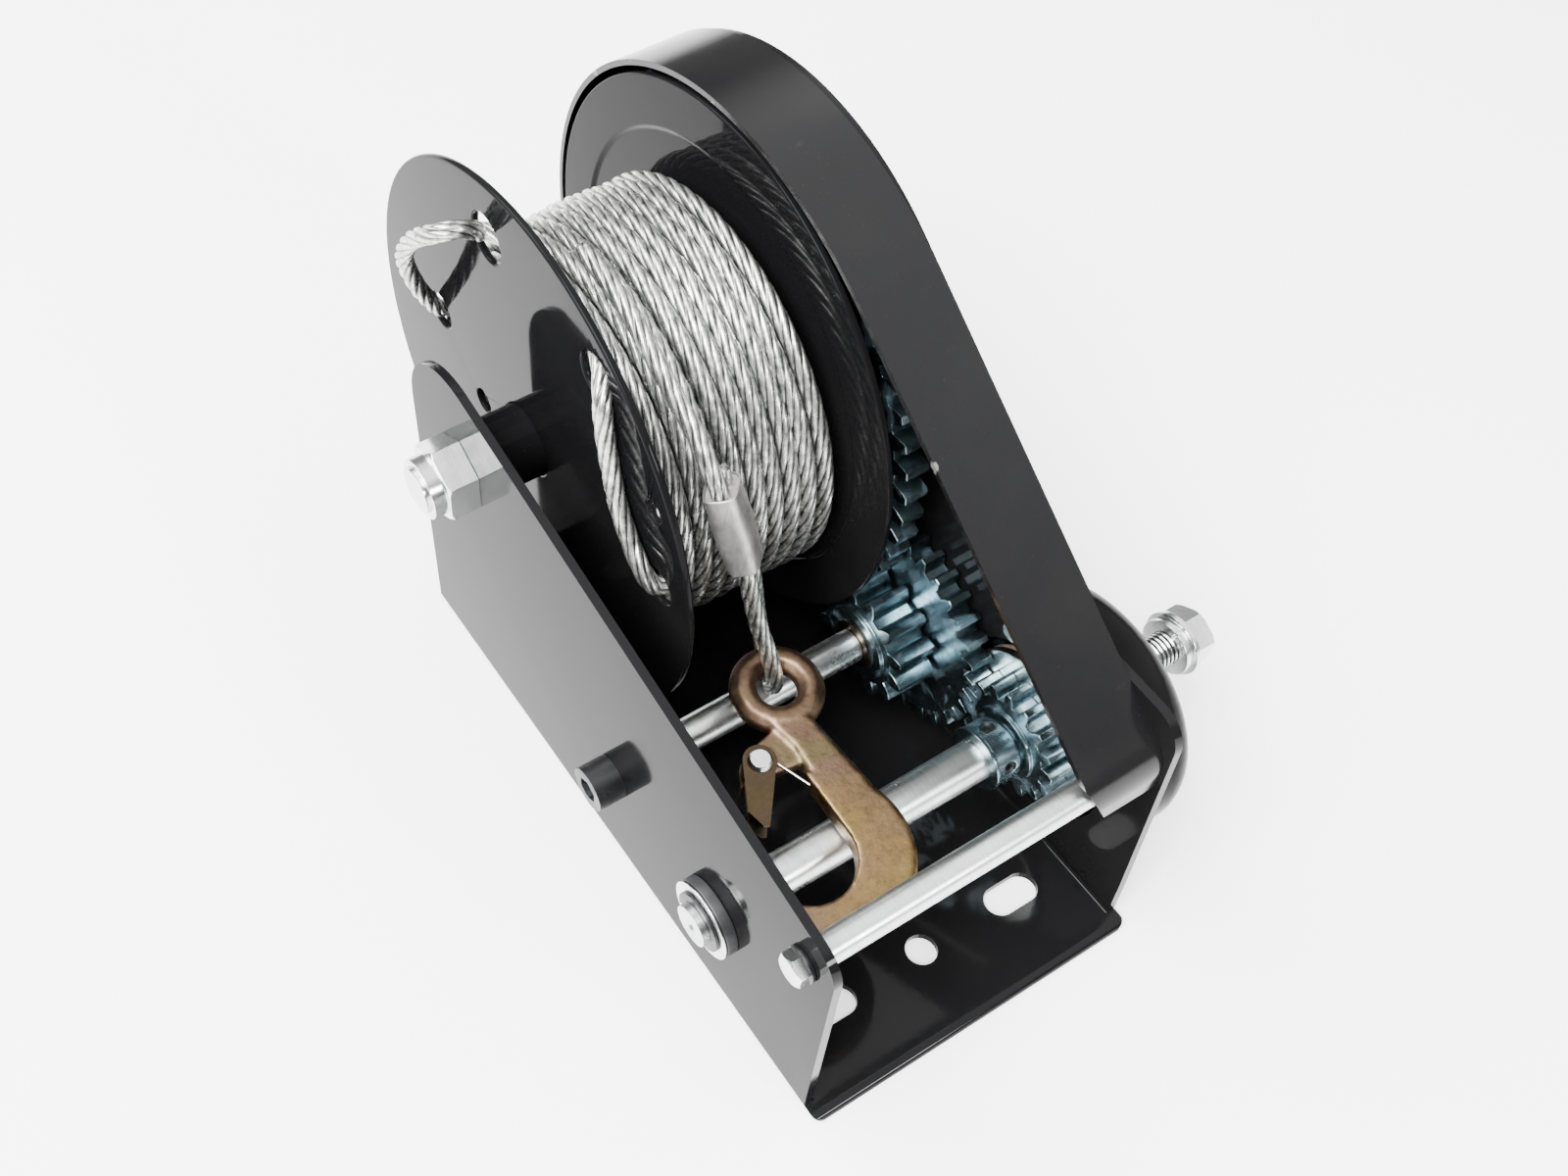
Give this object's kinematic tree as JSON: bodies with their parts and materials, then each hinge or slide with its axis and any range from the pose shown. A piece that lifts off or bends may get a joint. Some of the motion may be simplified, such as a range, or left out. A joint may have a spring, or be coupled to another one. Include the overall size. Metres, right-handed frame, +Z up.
{
  "type": "boat trailer winch",
  "caption": "Hand winch with a folded steel frame, geared rope drum, round brake cup and a wire rope that ends in a safety hook.",
  "frame": {"origin": "centre of the base's bolt pattern, on the underside of the base", "axes": "+X to the crank side, along all shafts; -Y to the front, where the rope pays out; +Z up"},
  "size_m": [0.2179, 0.3119, 0.2113],
  "materials": {
    "black_paint": "satin black powder coat",
    "zinc_steel": "bright zinc plate",
    "gear_steel": "blue zinc plate with grease",
    "black_oxide": "black oxide",
    "yellow_zinc": "yellow chromate on zinc",
    "spring_steel": "bright wire",
    "aluminium": "matte, pressed",
    "wire_rope": "galvanised strands",
    "bush_plastic": "black nylon",
    "friction_lining": "moulded friction lining"
  },
  "bodies": {
    "frame": {"frame_channel": "black_paint", "gear_guard": "black_paint", "brake_cup": "black_paint", "tie_rod": "zinc_steel", "tie_rod_bolts": "black_oxide", "tie_rod_washers": "zinc_steel", "drum_axle": "zinc_steel", "axle_nut": "zinc_steel", "idler_bolt": "black_oxide", "idler_sleeve": "zinc_steel", "idler_nut": "zinc_steel", "idler_snap_ring": "yellow_zinc", "idler_washer": "zinc_steel", "drive_bush_left": "bush_plastic", "drive_bush_right": "bush_plastic", "pawl_pin": "zinc_steel", "pawl_clip": "black_oxide", "pawl_spring": "spring_steel", "rope_tail": "wire_rope", "ferrule": "aluminium"},
    "drum": {"hub_tube": "black_paint", "drum_barrel": "black_paint", "left_flange": "black_paint", "right_flange": "black_paint", "gear_hub_ring": "black_paint", "drum_gear": "gear_steel", "rope_winding": "wire_rope", "rope_anchor": "wire_rope"},
    "idler": {"idler_pinion": "gear_steel", "idler_gear": "gear_steel"},
    "drive": {"drive_shaft": "zinc_steel", "drive_pinion": "gear_steel", "shaft_collar": "gear_steel", "set_screws": "black_oxide", "shaft_washer": "zinc_steel", "shaft_clip": "black_oxide", "brake_plate": "gear_steel", "friction_discs": "friction_lining", "brake_hub": "gear_steel", "crank_bolt": "zinc_steel", "crank_spring_washer": "zinc_steel", "crank_washer": "zinc_steel"},
    "ratchet": {"ratchet_wheel": "gear_steel"},
    "pawl": {"pawl": "gear_steel"},
    "hook": {"hook": "yellow_zinc", "latch_rivet": "zinc_steel", "latch_spring": "spring_steel"},
    "latch": {"latch": "yellow_zinc"}
  },
  "joints": [
    {"name": "drum_spin", "type": "hinge", "parent": "frame", "child": "drum", "pos_m": [0, 0.0875, 0.111], "axis": [1, 0, 0], "continuous": true},
    {"name": "idler_spin", "type": "hinge", "parent": "frame", "child": "idler", "pos_m": [0, -0.00424, 0.04653], "axis": [1, 0, 0], "continuous": true},
    {"name": "drive_spin", "type": "hinge", "parent": "frame", "child": "drive", "pos_m": [0, -0.06298, 0.04725], "axis": [1, 0, 0], "continuous": true},
    {"name": "ratchet_slip", "type": "hinge", "parent": "drive", "child": "ratchet", "pos_m": [0, -0.06298, 0.04725], "axis": [1, 0, 0], "continuous": true},
    {"name": "pawl_lift", "type": "hinge", "parent": "frame", "child": "pawl", "pos_m": [0, -0.04423, 0.07972], "axis": [-1, 0, 0], "range_deg": [0, 12], "stiffness_Nm_per_rad": 0.02, "springref_deg": -20.05},
    {"name": "hook_swing", "type": "hinge", "parent": "frame", "child": "hook", "pos_m": [-0.0035, -0.00338, 0.06483], "axis": [-1, 0, 0], "range_deg": [0, 40]},
    {"name": "latch_pivot", "type": "hinge", "parent": "hook", "child": "latch", "pos_m": [-0.0289, -0.0339, 0.06184], "axis": [0, -0.0976, 0.9952], "range_deg": [0, 28], "stiffness_Nm_per_rad": 0.03, "springref_deg": -22.92}
  ],
  "couplings": [
    {"joint": "idler_spin", "follows": "drum_spin", "ratio": -4.75},
    {"joint": "drive_spin", "follows": "drum_spin", "ratio": 9.2031}
  ]
}
